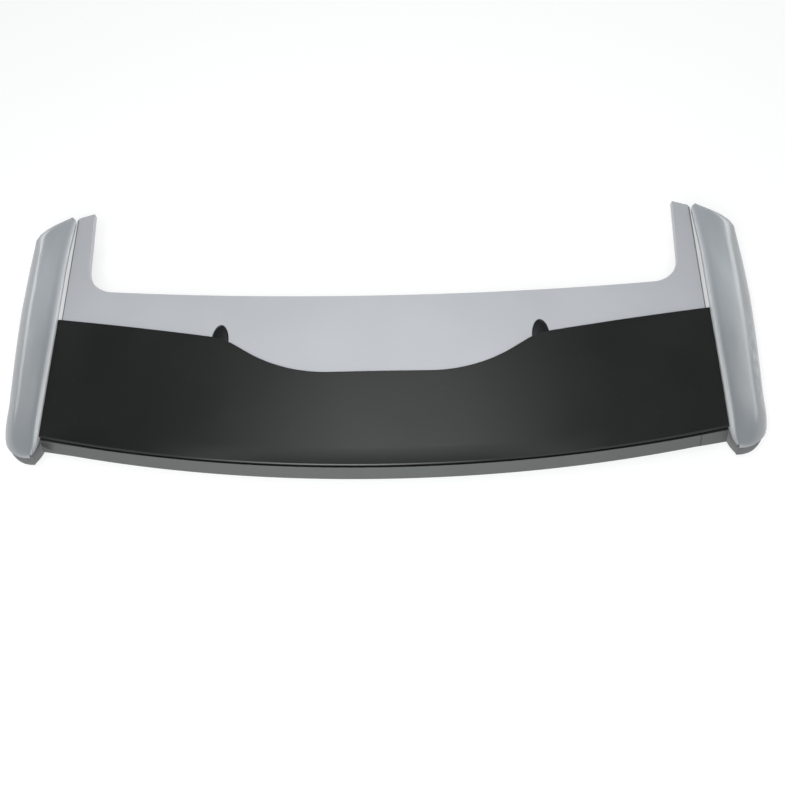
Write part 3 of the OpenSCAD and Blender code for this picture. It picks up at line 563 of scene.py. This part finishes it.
class FinForm:
    """Sections of a side fin across the car, at any place along it."""

    # Place of the crease, as shares of the width and height of the section's box
    crease_across, crease_down = 0.63, 0.2
    # Power of the rear corner's curve in plan, 2 being an ellipse
    corner = 2.5
    # Length and amount of the inner face's turn outwards, at the tip and at the tail
    tip_turn, tail_turn = (0.012, 0.009), (0.022, 0.006)
    # Share of the side that the paint leaves bare at the tail, and the end's lean there
    bare, end_lean = 0.86, 0.013

    def __init__(self, plan):
        s = self.s = plan.s
        self.plan = plan
        self.tip_y = plan.front - s.horn_slant + 0.001
        self.tail_y = plan.rear + s.fin_tail
        run = self.tip_y - self.tail_y
        self.nose_y = self.tip_y - s.fin_nose
        # Where the inner face turns, the lower edge sweeps up, and the fin is widest
        self.turn_y = self.tip_y - 0.24 * run
        self.sweep_y = self.tip_y - 0.315 * run
        self.mid_y = self.tip_y - 0.34 * run
        # Where the top starts to drop and the rear corner begins
        self.drop_y = self.tail_y + 0.18 * run
        self.round_y = self.tail_y + 0.227 * run
        self.backing_y = self.round_y - 0.004
        self.tip_x = plan.half + 0.0025
        self.tip_width, self.nose_width = 0.016, s.fin_width - 0.016
        self.tail_width, self.taper = 0.016, 0.01

    def joint(self, y):
        """Line along which the fin's inner face meets the filler strip."""
        x = self.plan.fin_x
        return x + (self.tip_x - x) * share(y, self.turn_y, self.tip_y) ** 1.5

    def inner(self, y):
        """The fin's inner face, which turns outwards at both ends."""
        (tip, tip_out), (tail, tail_out) = self.tip_turn, self.tail_turn
        return (self.joint(y) + tip_out * share(y, self.tip_y - tip, self.tip_y) ** 2.2
                + tail_out * share(y, self.tail_y + tail, self.tail_y) ** 1.8)

    def outer(self, y):
        """The fin's outermost point."""
        x, w = self.plan.fin_x, self.s.fin_width
        if y >= self.nose_y:
            start = self.tip_x + self.tip_width
            gone = 1 - (1 - share(y, self.tip_y, self.nose_y)) ** 2.2
            return start + (x + self.nose_width - start) * gone
        if y >= self.mid_y:
            gone = 1 - (1 - share(y, self.nose_y, self.mid_y)) ** 2
            return x + self.nose_width + (w - self.nose_width) * gone
        if y >= self.round_y:
            return x + w - self.taper * share(y, self.mid_y, self.round_y) ** 1.5
        left = max(0.0, 1 - share(y, self.round_y, self.tail_y) ** self.corner)
        return x + self.tail_width + (w - self.taper - self.tail_width) * left ** (1 / self.corner)

    def top(self, y):
        """Height of the fin's inner edge."""
        tip, tail = share(y, self.turn_y, self.tip_y), share(y, self.drop_y, self.tail_y)
        low = 1 - 0.4 * tip ** 2 - 0.5 * tail ** 2
        return self.plan.crown(self.inner(y)) + self.s.fin_rise * low

    def low(self, y):
        """Height of the fin's lower edge."""
        nose = (self.plan.crown(self.tip_x) - 0.01) * share(y, self.sweep_y, self.tip_y) ** 1.7
        return nose + self.s.tail_lift * share(y, self.round_y, self.tail_y) ** 2

    def reach(self, y):
        """How far down the side the paint goes, from the crease at 0 to the lower edge at 1."""
        return 1 - self.bare * share(y, self.round_y - 0.01, self.tail_y)

    def side(self, s):
        """A point of the side, from the crease at 0 to the lower edge at 1."""
        return (self.crease_across + (1 - self.crease_across) * (1 - (1 - s) ** 3),
                self.crease_down + (1 - self.crease_down) * s)

    def skin_path(self, y):
        """The skin's section as shares of the fin's box, from its inner face to its lower edge."""
        across, down = self.crease_across, self.crease_down
        wall = 0.2 - 0.13 * share(y, self.tail_y + 0.035, self.tail_y)
        path = [(0, wall), (0, 0.065), (0.004, 0.055), (0.014, 0.03), (0.035, 0.012), (0.08, 0)]
        path += [(0.08 + (across - 0.08) * k / 6, down * (k / 6) ** 1.15) for k in range(1, 7)]
        return path + [self.side(self.reach(y) * (k / 12) ** 1.2) for k in range(1, 13)]

    def end_path(self, y):
        """The closed rear end's section, whose inner wall leans outwards more towards the tail."""
        out = self.end_lean * share(y, self.backing_y, self.tail_y)
        lean = min(0.72, out / (self.outer(y) - self.inner(y)))
        return ([(0, 0.1), (0, 0.3), (lean, 0.93), (lean + 0.05, 1), (max(0.5, lean + 0.1), 1)]
                + [self.side(0.97 - 0.92 * k / 12) for k in range(13)])

    def section(self, path, y, side=0.0, top=0.0, bottom=0.0):
        """A section's points at a place along the fin, its box drawn in by three amounts."""
        x0, x1 = self.inner(y) + side, self.outer(y) - side
        z1, z0 = self.top(y) - top, self.low(y) + bottom
        return [Vector((x0 + u * (x1 - x0), y, z1 - v * (z1 - z0))) for u, v in path]

    @staticmethod
    def stations(start, end, steps):
        """Places from start to end, closer together towards both ends."""
        return [start + (end - start) * (1 - cos(pi * k / steps)) / 2 for k in range(steps + 1)]


# Mesh tools


def outwards(bm):
    """Turns all faces outwards."""
    bmesh.ops.recalc_face_normals(bm, faces=bm.faces[:])


def of_type(made, kind):
    """The elements of one type among those that a bmesh operator made."""
    return [g for g in made["geom"] if isinstance(g, kind)]


def finish_piece(bm, name, material, smooth=40.0, plan=None):
    """Makes an object of a bmesh, smooth except at edges above an angle in degrees."""
    outwards(bm)
    mesh = bpy.data.meshes.new(name)
    bm.to_mesh(mesh)
    bm.free()
    mesh.shade_smooth()
    mesh.set_sharp_from_angle(angle=radians(smooth))
    if plan:
        crown_shading(mesh, plan)
    mesh.materials.append(material)
    piece = bpy.data.objects.new(name, mesh)
    bpy.context.scene.collection.objects.link(piece)
    return piece


def crown_shading(mesh, plan):
    """Gives faces on the crown its exact normals, and rounded edges too where they meet it."""
    normals = [Vector(corner.vector) for corner in mesh.corner_normals]
    square = [plan.crown_normal(v.co.x) for v in mesh.vertices]
    shared = set()
    for face in mesh.polygons:
        level = plan.crown_normal(face.center.x).dot(face.normal)
        if abs(level) > ON_CROWN:
            for corner in face.loop_indices:
                vertex = mesh.loops[corner].vertex_index
                normals[corner] = square[vertex] * (1 if level > 0 else -1)
                if level > 0:
                    shared.add(vertex)
    for corner, loop in enumerate(mesh.loops):
        vertex = loop.vertex_index
        if vertex in shared and normals[corner].dot(square[vertex]) > MEETS_CROWN:
            normals[corner] = square[vertex]
    mesh.normals_split_custom_set(normals)


def stand_for(piece, node):
    """Lets a piece ride on the body and stand for its CAD node."""
    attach(piece, "root")
    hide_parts(node)
    return piece


def side_piece(bm, word, name, node, material, smooth=40.0, plan=None):
    """Finishes a right-hand piece, mirrored for the left side, and lets it stand for its node."""
    outwards(bm)
    if SIDES[word] < 0:
        mirrored(bm)
    piece = finish_piece(bm, f"{word}_{name}", material, smooth, plan)
    return stand_for(piece, f"{word}_{node}")


def ring(bm, points, z):
    """A closed loop of new edges through points of a plan, at one height."""
    verts = [bm.verts.new((x, y, z)) for x, y in points]
    return [bm.edges.new((a, b)) for a, b in zip(verts, verts[1:] + verts[:1])]


def thicken_down(bm, depth):
    """Extrudes all faces of a flat sheet down to a slab and returns the slab's lower faces."""
    made = bmesh.ops.extrude_face_region(bm, geom=bm.faces[:], use_keep_orig=True)
    bmesh.ops.translate(bm, verts=of_type(made, BMVert), vec=(0, 0, -depth))
    return of_type(made, BMFace)


def pushed(bm, face, across, along, rise):
    """Extrudes a face, scales and lifts the new one and returns it."""
    made = bmesh.ops.extrude_face_region(bm, geom=[face])
    if face.is_valid:
        bmesh.ops.delete(bm, geom=[face], context="FACES_ONLY")
    face = of_type(made, BMFace)[0]
    bmesh.ops.scale(bm, vec=(across, along, 1), verts=face.verts[:])
    bmesh.ops.translate(bm, vec=(0, 0, rise), verts=face.verts[:])
    return face


def sharp_above(bm, z, angle):
    """Edges above a height where the faces turn by more than an angle in radians."""
    return [e for e in bm.edges if all(v.co.z > z for v in e.verts)
            and e.calc_face_angle(1.0) > angle]


def rounded(bm, edges, size, segments=3):
    """Rounds edges."""
    bmesh.ops.bevel(bm, geom=edges, offset=size, segments=segments, profile=0.5, affect="EDGES",
                    material=-1, clamp_overlap=True)


def crown_over(bm, plan, spacing):
    """Cuts a flat slab across the car into narrow facets and lays it on the deck's crown."""
    half = max(abs(v.co.x) for v in bm.verts)
    count = int(half / spacing)
    for k in range(-count, count + 1):
        bmesh.ops.bisect_plane(bm, geom=bm.verts[:] + bm.edges[:] + bm.faces[:], dist=1e-6,
                               plane_co=(k * half / (count + 0.5), 0, 0), plane_no=(1, 0, 0))
    for v in bm.verts:
        v.co.z += plan.crown(v.co.x)


def loft(bm, sections, closed=False):
    """Extrudes the first section from station to station and returns the loops of vertices."""
    first = [bm.verts.new(p) for p in sections[0]]
    edges = [bm.edges.new(pair) for pair in zip(first, first[1:] + first[:int(closed)])]
    loops = [first]
    for points in sections[1:]:
        made = bmesh.ops.extrude_edge_only(bm, edges=edges)
        fresh = set(of_type(made, BMVert))
        loop = [next(e.other_vert(v) for e in v.link_edges if e.other_vert(v) in fresh)
                for v in loops[-1]]
        for v, point in zip(loop, points):
            v.co = point
        edges = [e for e in of_type(made, BMEdge) if all(v in fresh for v in e.verts)]
        loops.append(loop)
    return loops


def mirrored(bm):
    """Turns a right-hand piece into the left-hand one."""
    bmesh.ops.scale(bm, vec=(-1, 1, 1), verts=bm.verts[:])
    bmesh.ops.reverse_faces(bm, faces=bm.faces[:])


def smooth_copy(node):
    """A copy of a CAD node, merged and with smooth curved faces."""
    bm = bmesh.new()
    bm.from_mesh(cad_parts[node].data)
    bmesh.ops.remove_doubles(bm, verts=bm.verts[:], dist=1e-6)
    bmesh.ops.dissolve_limit(bm, angle_limit=radians(0.05), verts=bm.verts[:], edges=bm.edges[:],
                             use_dissolve_boundaries=False)
    bmesh.ops.triangulate(bm, faces=bm.faces[:])
    return bm


# Operators


class SpoilerPiece:
    """What all the operators share."""

    bl_options = {"REGISTER", "UNDO"}

    def plan(self, context):
        """The scene's sizes and the outlines for them."""
        sizes = context.scene.spoiler_sizes
        return sizes, Plan(sizes, context.scene.spoiler_stage.steps)

    def tone(self, context, name):
        """The colour of a finish."""
        return tuple(getattr(context.scene.spoiler_finishes, name))


class SPOILER_OT_deck(SpoilerPiece, bpy.types.Operator):
    """Painted deck with its horns, return flange and two oval openings"""

    bl_idname = "spoiler.deck"
    bl_label = "Deck"
    # Half axes of the zone round a plug, and depth of the rear strip, that have no flange
    plug_zone, rear_zone = (0.03, 0.05), 0.006

    def execute(self, context):
        s, plan = self.plan(context)
        bm = bmesh.new()
        ring(bm, plan.deck(), 0.0)
        across, along = s.plug_half_width + s.seat_gap, s.plug_half_length + s.seat_gap
        turns = [2 * pi * k / OPENING_STEPS for k in range(OPENING_STEPS)]
        for side in SIDES.values():
            ring(bm, [(side * s.plug_x + across * cos(a), plan.plug_y + along * sin(a))
                      for a in turns], 0.0)
        bmesh.ops.triangle_fill(bm, use_beauty=True, use_dissolve=False, edges=bm.edges[:])
        low = thicken_down(bm, s.skin)
        outwards(bm)
        self.flange(bm, plan, low)
        rounded(bm, sharp_above(bm, -1e-6, 0.01), DECK_ROUND)
        crown_over(bm, plan, s.strip_spacing)
        piece = finish_piece(bm, "deck", primer_finish(self.tone(context, "deck")), plan=plan)
        stand_for(piece, "upper_shell")
        return {"FINISHED"}

    def flange(self, bm, plan, low):
        """Return flange along every free edge of the deck except under the panel."""
        s = plan.s
        inset = bmesh.ops.inset_region(bm, faces=low, thickness=s.skin, use_even_offset=True,
                                       use_boundary=True)["faces"]
        across, along = self.plug_zone
        border = []
        for face in inset:
            x, y, _ = face.calc_center_median()
            near_plug = hypot((abs(x) - s.plug_x) / across, (y - plan.plug_y) / along) < 1
            at_rear = y < plan.rear_y(x, plan.deck_rear) + self.rear_zone
            if not near_plug and not at_rear:
                border.append(face)
        made = bmesh.ops.extrude_face_region(bm, geom=border)
        bmesh.ops.translate(bm, verts=of_type(made, BMVert), vec=(0, 0, s.skin - s.flange))
        bmesh.ops.delete(bm, geom=[f for f in border if f.is_valid], context="FACES_ONLY")


class SPOILER_OT_panel(SpoilerPiece, bpy.types.Operator):
    """Satin black centre panel with a waved front edge and a rolled rear edge"""

    bl_idname = "spoiler.panel"
    bl_label = "Centre panel"

    def execute(self, context):
        s, plan = self.plan(context)
        bm = bmesh.new()
        ring(bm, plan.panel(), s.skin + s.seat_gap)
        bmesh.ops.triangle_fill(bm, use_beauty=True, use_dissolve=False, edges=bm.edges[:])
        thicken_down(bm, s.skin)
        outwards(bm)
        rear = [e for e in sharp_above(bm, s.skin, 0.5)
                if all(v.co.y < plan.rear_y(v.co.x, plan.panel_rear) + 1e-5 for v in e.verts)]
        rounded(bm, rear, PANEL_CHAMFER, 1)
        rounded(bm, sharp_above(bm, s.skin + s.seat_gap - 1e-6, 0.9), PANEL_ROUND, 2)
        crown_over(bm, plan, s.strip_spacing)
        material = panel_finish(self.tone(context, "panel"), plan)
        stand_for(finish_piece(bm, "panel", material, plan=plan), "centre_panel")
        return {"FINISHED"}


class SPOILER_OT_fins(SpoilerPiece, bpy.types.Operator):
    """Painted outer skins of the two side fins"""

    bl_idname = "spoiler.fins"
    bl_label = "Side fins"

    def execute(self, context):
        s, plan = self.plan(context)
        form = FinForm(plan)
        material = paint_finish(self.tone(context, "fin"), form)
        for word in SIDES:
            bm = bmesh.new()
            loops = loft(bm, [form.section(form.skin_path(y), y, bottom=0.0003)
                              for y in form.stations(form.tail_y, form.tip_y, FIN_STEPS)])
            bm.faces.new(loops[-1])
            piece = side_piece(bm, word, "fin", "fin_skin", material, 60.0)
            wall = piece.modifiers.new("wall", "SOLIDIFY")
            wall.thickness, wall.offset, wall.use_even_offset = s.skin * 0.8, -1.0, True
        return {"FINISHED"}


class SPOILER_OT_fin_ends(SpoilerPiece, bpy.types.Operator):
    """Unpainted rear ends of the fins, below the skins' rising edges"""

    bl_idname = "spoiler.fin_ends"
    bl_label = "Fin ends"

    def execute(self, context):
        s, plan = self.plan(context)
        form = FinForm(plan)
        front = form.backing_y - s.seat_gap
        material = moulded_finish("end_grey", self.tone(context, "moulding"))
        for word in SIDES:
            bm = bmesh.new()
            sections = []
            for y in form.stations(form.tail_y + 0.001, front, END_STEPS):
                wall = min(s.skin, (form.outer(y) - form.inner(y)) / 5)
                sections.append(form.section(form.end_path(y), y, wall + 0.0012, 2 * s.skin))
            loops = loft(bm, sections, closed=True)
            bm.faces.new(loops[0])
            bm.faces.new(loops[-1])
            side_piece(bm, word, "fin_rear", "fin_end", material, 50.0)
        return {"FINISHED"}


class SPOILER_OT_strips(SpoilerPiece, bpy.types.Operator):
    """Pale filler strips in the joints between horns and fins"""

    bl_idname = "spoiler.strips"
    bl_label = "Filler strips"

    def execute(self, context):
        s, plan = self.plan(context)
        form = FinForm(plan)
        back = plan.wave(plan.fin_x)[-1][1] + s.seat_gap
        places = [back + (form.tip_y - STRIP_END - back) * k / STRIP_STEPS
                  for k in range(STRIP_STEPS + 1)]
        inner = plan.half + s.seat_gap
        outline = [(inner, places[-1]), (inner, places[0])]
        outline += [(form.joint(y) - s.seat_gap, y) for y in places]
        material = strip_finish(self.tone(context, "strip"), form)
        for word in SIDES:
            bm = bmesh.new()
            bm.faces.new([e.verts[0] for e in ring(bm, outline, -STRIP_SINK)])
            thicken_down(bm, STRIP_DEPTH)
            outwards(bm)
            rounded(bm, sharp_above(bm, -1.5 * STRIP_SINK, 0.5), STRIP_ROUND, 2)
            crown_over(bm, plan, STRIP_FACET)
            side_piece(bm, word, "strip", "filler_strip", material, plan=plan)
        return {"FINISHED"}


class SPOILER_OT_plugs(SpoilerPiece, bpy.types.Operator):
    """Black oval plugs with a rim and a domed middle"""

    bl_idname = "spoiler.plugs"
    bl_label = "Oval plugs"

    def execute(self, context):
        s, plan = self.plan(context)
        across, along = s.plug_half_width, s.plug_half_length
        material = moulded_finish("plug_black", self.tone(context, "plug"), 900.0, 0.34)
        for word in SIDES:
            bm = bmesh.new()
            bmesh.ops.create_circle(bm, cap_ends=True, segments=PLUG_STEPS, radius=1.0)
            bmesh.ops.scale(bm, vec=(across, along, 1), verts=bm.verts[:])
            low = thicken_down(bm, s.skin + s.seat_gap - s.plug_sink)[0]
            low = pushed(bm, low, 1 + s.plug_lip / across, 1 + s.plug_lip / along, 0.0)
            pushed(bm, low, 1.0, 1.0, s.seat_gap - s.plug_lip)
            outwards(bm)
            top = max(bm.faces, key=lambda f: f.calc_center_median().z)
            for thickness, depth in PLUG_INSETS:
                bmesh.ops.inset_region(bm, faces=[top], thickness=thickness, depth=depth,
                                       use_even_offset=True)
            for shrink, rise in PLUG_DOME:
                top = pushed(bm, top, shrink, shrink, rise)
            rim = [e for e in bm.edges if all(abs(v.co.z) < 1e-6 for v in e.verts)
                   and abs(hypot(e.verts[0].co.x / across, e.verts[0].co.y / along) - 1) < 1e-3]
            rounded(bm, rim, PLUG_ROUND, 2)
            bmesh.ops.translate(bm, verts=bm.verts[:], vec=(s.plug_x, plan.plug_y, -s.plug_sink))
            for v in bm.verts:
                v.co.z += plan.crown(v.co.x)
            side_piece(bm, word, "plug", "oval_plug", material, 50.0)
        return {"FINISHED"}


class SPOILER_OT_mouldings(SpoilerPiece, bpy.types.Operator):
    """Lower shell with the trailing lip, and the fins' backings"""

    bl_idname = "spoiler.mouldings"
    bl_label = "Lower shell and backings"

    def execute(self, context):
        lip = lip_finish(self.tone(context, "lip"), self.plan(context)[1])
        grey = moulded_finish("backing_grey", self.tone(context, "moulding"))
        shell = finish_piece(smooth_copy("lower_shell"), "shell_and_lip", lip, 30.0)
        stand_for(shell, "lower_shell")
        for word in SIDES:
            node = f"{word}_fin_backing"
            piece = finish_piece(smooth_copy(node), f"{word}_backing", grey, 30.0)
            stand_for(piece, node)
        return {"FINISHED"}


class SPOILER_OT_fixings(SpoilerPiece, bpy.types.Operator):
    """Finishes for the studs, pins, screws, rings and foam that stay as CAD parts"""

    bl_idname = "spoiler.fixings"
    bl_label = "Fixings and seals"

    def execute(self, context):
        zinc = zinc_finish(self.tone(context, "zinc"))
        foam = foam_finish(self.tone(context, "foam"))
        black = moulded_finish("pin_black", self.tone(context, "plug"), 900.0, 0.45)
        worn = {
            zinc: ("mounting_studs", "shell_screws", "fin_screws", "panel_retainers"),
            foam: ("front_seal", "left_horn_seal", "right_horn_seal", "stud_seals"),
            black: ("locating_pins",),
        }
        for material, names in worn.items():
            for name in names:
                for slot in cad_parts[name].material_slots:
                    slot.material = material
        return {"FINISHED"}


class SPOILER_OT_stage(SpoilerPiece, bpy.types.Operator):
    """Pale floor, soft studio light and the camera"""

    bl_idname = "spoiler.stage"
    bl_label = "Stage"

    def execute(self, context):
        stage = context.scene.spoiler_stage
        self.floor(stage)
        self.light(context.scene, stage)
        self.camera(context.scene, stage)
        context.scene.view_settings.view_transform = "Standard"
        return {"FINISHED"}

    def floor(self, stage):
        """A plain floor with a faint, even mottling."""
        bm = bmesh.new()
        bmesh.ops.create_grid(bm, x_segments=1, y_segments=1, size=stage.floor_size / 2)
        f = Finish("floor_pale")
        tone = tuple(stage.floor_colour)
        base = f.mix(f.noise(2.0), tint(tone, 0.99), tint(tone, 1.01))
        f.shade(Base_Color=base, Roughness=0.9, Specular_IOR_Level=0.1,
                Emission_Color=(1.0, 1.0, 1.0), Emission_Strength=stage.floor_glow)
        finish_piece(bm, "floor", f.material)

    def light(self, scene, stage):
        """A surround that is bright near the horizon, and softboxes."""
        scene.world = world = bpy.data.worlds.new("surround")
        world.use_nodes = True
        nodes = world.node_tree.nodes
        way, parts, height, seen, choice = (nodes.new(f"ShaderNode{kind}") for kind in (
            "TexCoord", "SeparateXYZ", "MapRange", "LightPath", "Mix"))
        height.interpolation_type = "SMOOTHSTEP"
        for key, value in (("From Min", 0.20), ("From Max", 0.60), ("To Min", stage.horizon),
                           ("To Max", stage.zenith)):
            height.inputs[key].default_value = value
        choice.inputs[3].default_value = stage.backdrop
        back = nodes["Background"]
        back.inputs["Color"].default_value = (0.97, 0.985, 1.0, 1.0)
        for output, socket in (
            (way.outputs["Generated"], parts.inputs["Vector"]),
            (parts.outputs["Z"], height.inputs["Value"]),
            (seen.outputs["Is Camera Ray"], choice.inputs[0]),
            (height.outputs["Result"], choice.inputs[2]),
            (choice.outputs[0], back.inputs["Strength"]),
        ):
            world.node_tree.links.new(output, socket)
        for name, place, aim, size, power, spread in SOFTBOXES:
            data = bpy.data.lights.new(name, "AREA")
            data.shape, data.size, data.size_y = "RECTANGLE", *size
            data.energy, data.spread = power * stage.light, radians(spread)
            lamp = bpy.data.objects.new(name, data)
            lamp.location = place
            lamp.rotation_euler = (Vector(aim) - Vector(place)).to_track_quat("-Z", "Y").to_euler()
            lamp.visible_camera = False
            scene.collection.objects.link(lamp)

    def camera(self, scene, stage):
        """The camera at the photograph's viewing angle."""
        place, aim = Vector(stage.camera_place), Vector(stage.camera_aim)
        ahead = (aim - place).normalized()
        right = ahead.cross(Vector((0, sin(radians(60)), cos(radians(60))))).normalized()
        up = right.cross(ahead)
        turn = stage.camera_roll
        right, up = cos(turn) * right + sin(turn) * up, cos(turn) * up - sin(turn) * right
        data = bpy.data.cameras.new("camera")
        data.sensor_width, data.lens = 36.0, stage.camera_lens
        data.clip_start, data.clip_end = 0.05, 60.0
        camera = bpy.data.objects.new("camera", data)
        turn = Matrix((right, up, -ahead)).transposed()
        camera.matrix_world = Matrix.Translation(place) @ turn.to_4x4()
        scene.collection.objects.link(camera)
        scene.camera = camera


PIECES = (SPOILER_OT_deck, SPOILER_OT_panel, SPOILER_OT_fins, SPOILER_OT_fin_ends,
          SPOILER_OT_strips, SPOILER_OT_plugs, SPOILER_OT_mouldings, SPOILER_OT_fixings,
          SPOILER_OT_stage)


class SPOILER_PT_sidebar(bpy.types.Panel):
    """Lists the spoiler's pieces, sizes and finishes"""

    bl_idname = "SPOILER_PT_sidebar"
    bl_label = "Roof spoiler"
    bl_space_type = "VIEW_3D"
    bl_region_type = "UI"
    bl_category = "Spoiler"

    def draw(self, context):
        layout = self.layout
        for operator in PIECES:
            layout.operator(operator.bl_idname)
        for group in GROUPS:
            box = layout.box()
            settings = getattr(context.scene, group)
            for key in settings.__annotations__:
                box.prop(settings, key)


GROUPS = {"spoiler_sizes": SpoilerSizes, "spoiler_finishes": SpoilerFinishes,
          "spoiler_stage": StageSettings}
CLASSES = (*GROUPS.values(), *PIECES, SPOILER_PT_sidebar)


def register():
    """Registers the classes and adds the settings to the scene."""
    for cls in CLASSES:
        bpy.utils.register_class(cls)
    for key, group in GROUPS.items():
        setattr(bpy.types.Scene, key, PointerProperty(type=group))


def unregister():
    """Removes the settings and the classes."""
    for key in GROUPS:
        delattr(bpy.types.Scene, key)
    for cls in reversed(CLASSES):
        bpy.utils.unregister_class(cls)


def main():
    """Builds every piece in order."""
    register()
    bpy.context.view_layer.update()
    for operator in PIECES:
        group, name = operator.bl_idname.split(".")
        getattr(getattr(bpy.ops, group), name)()


if __name__ == "__main__":
    main()
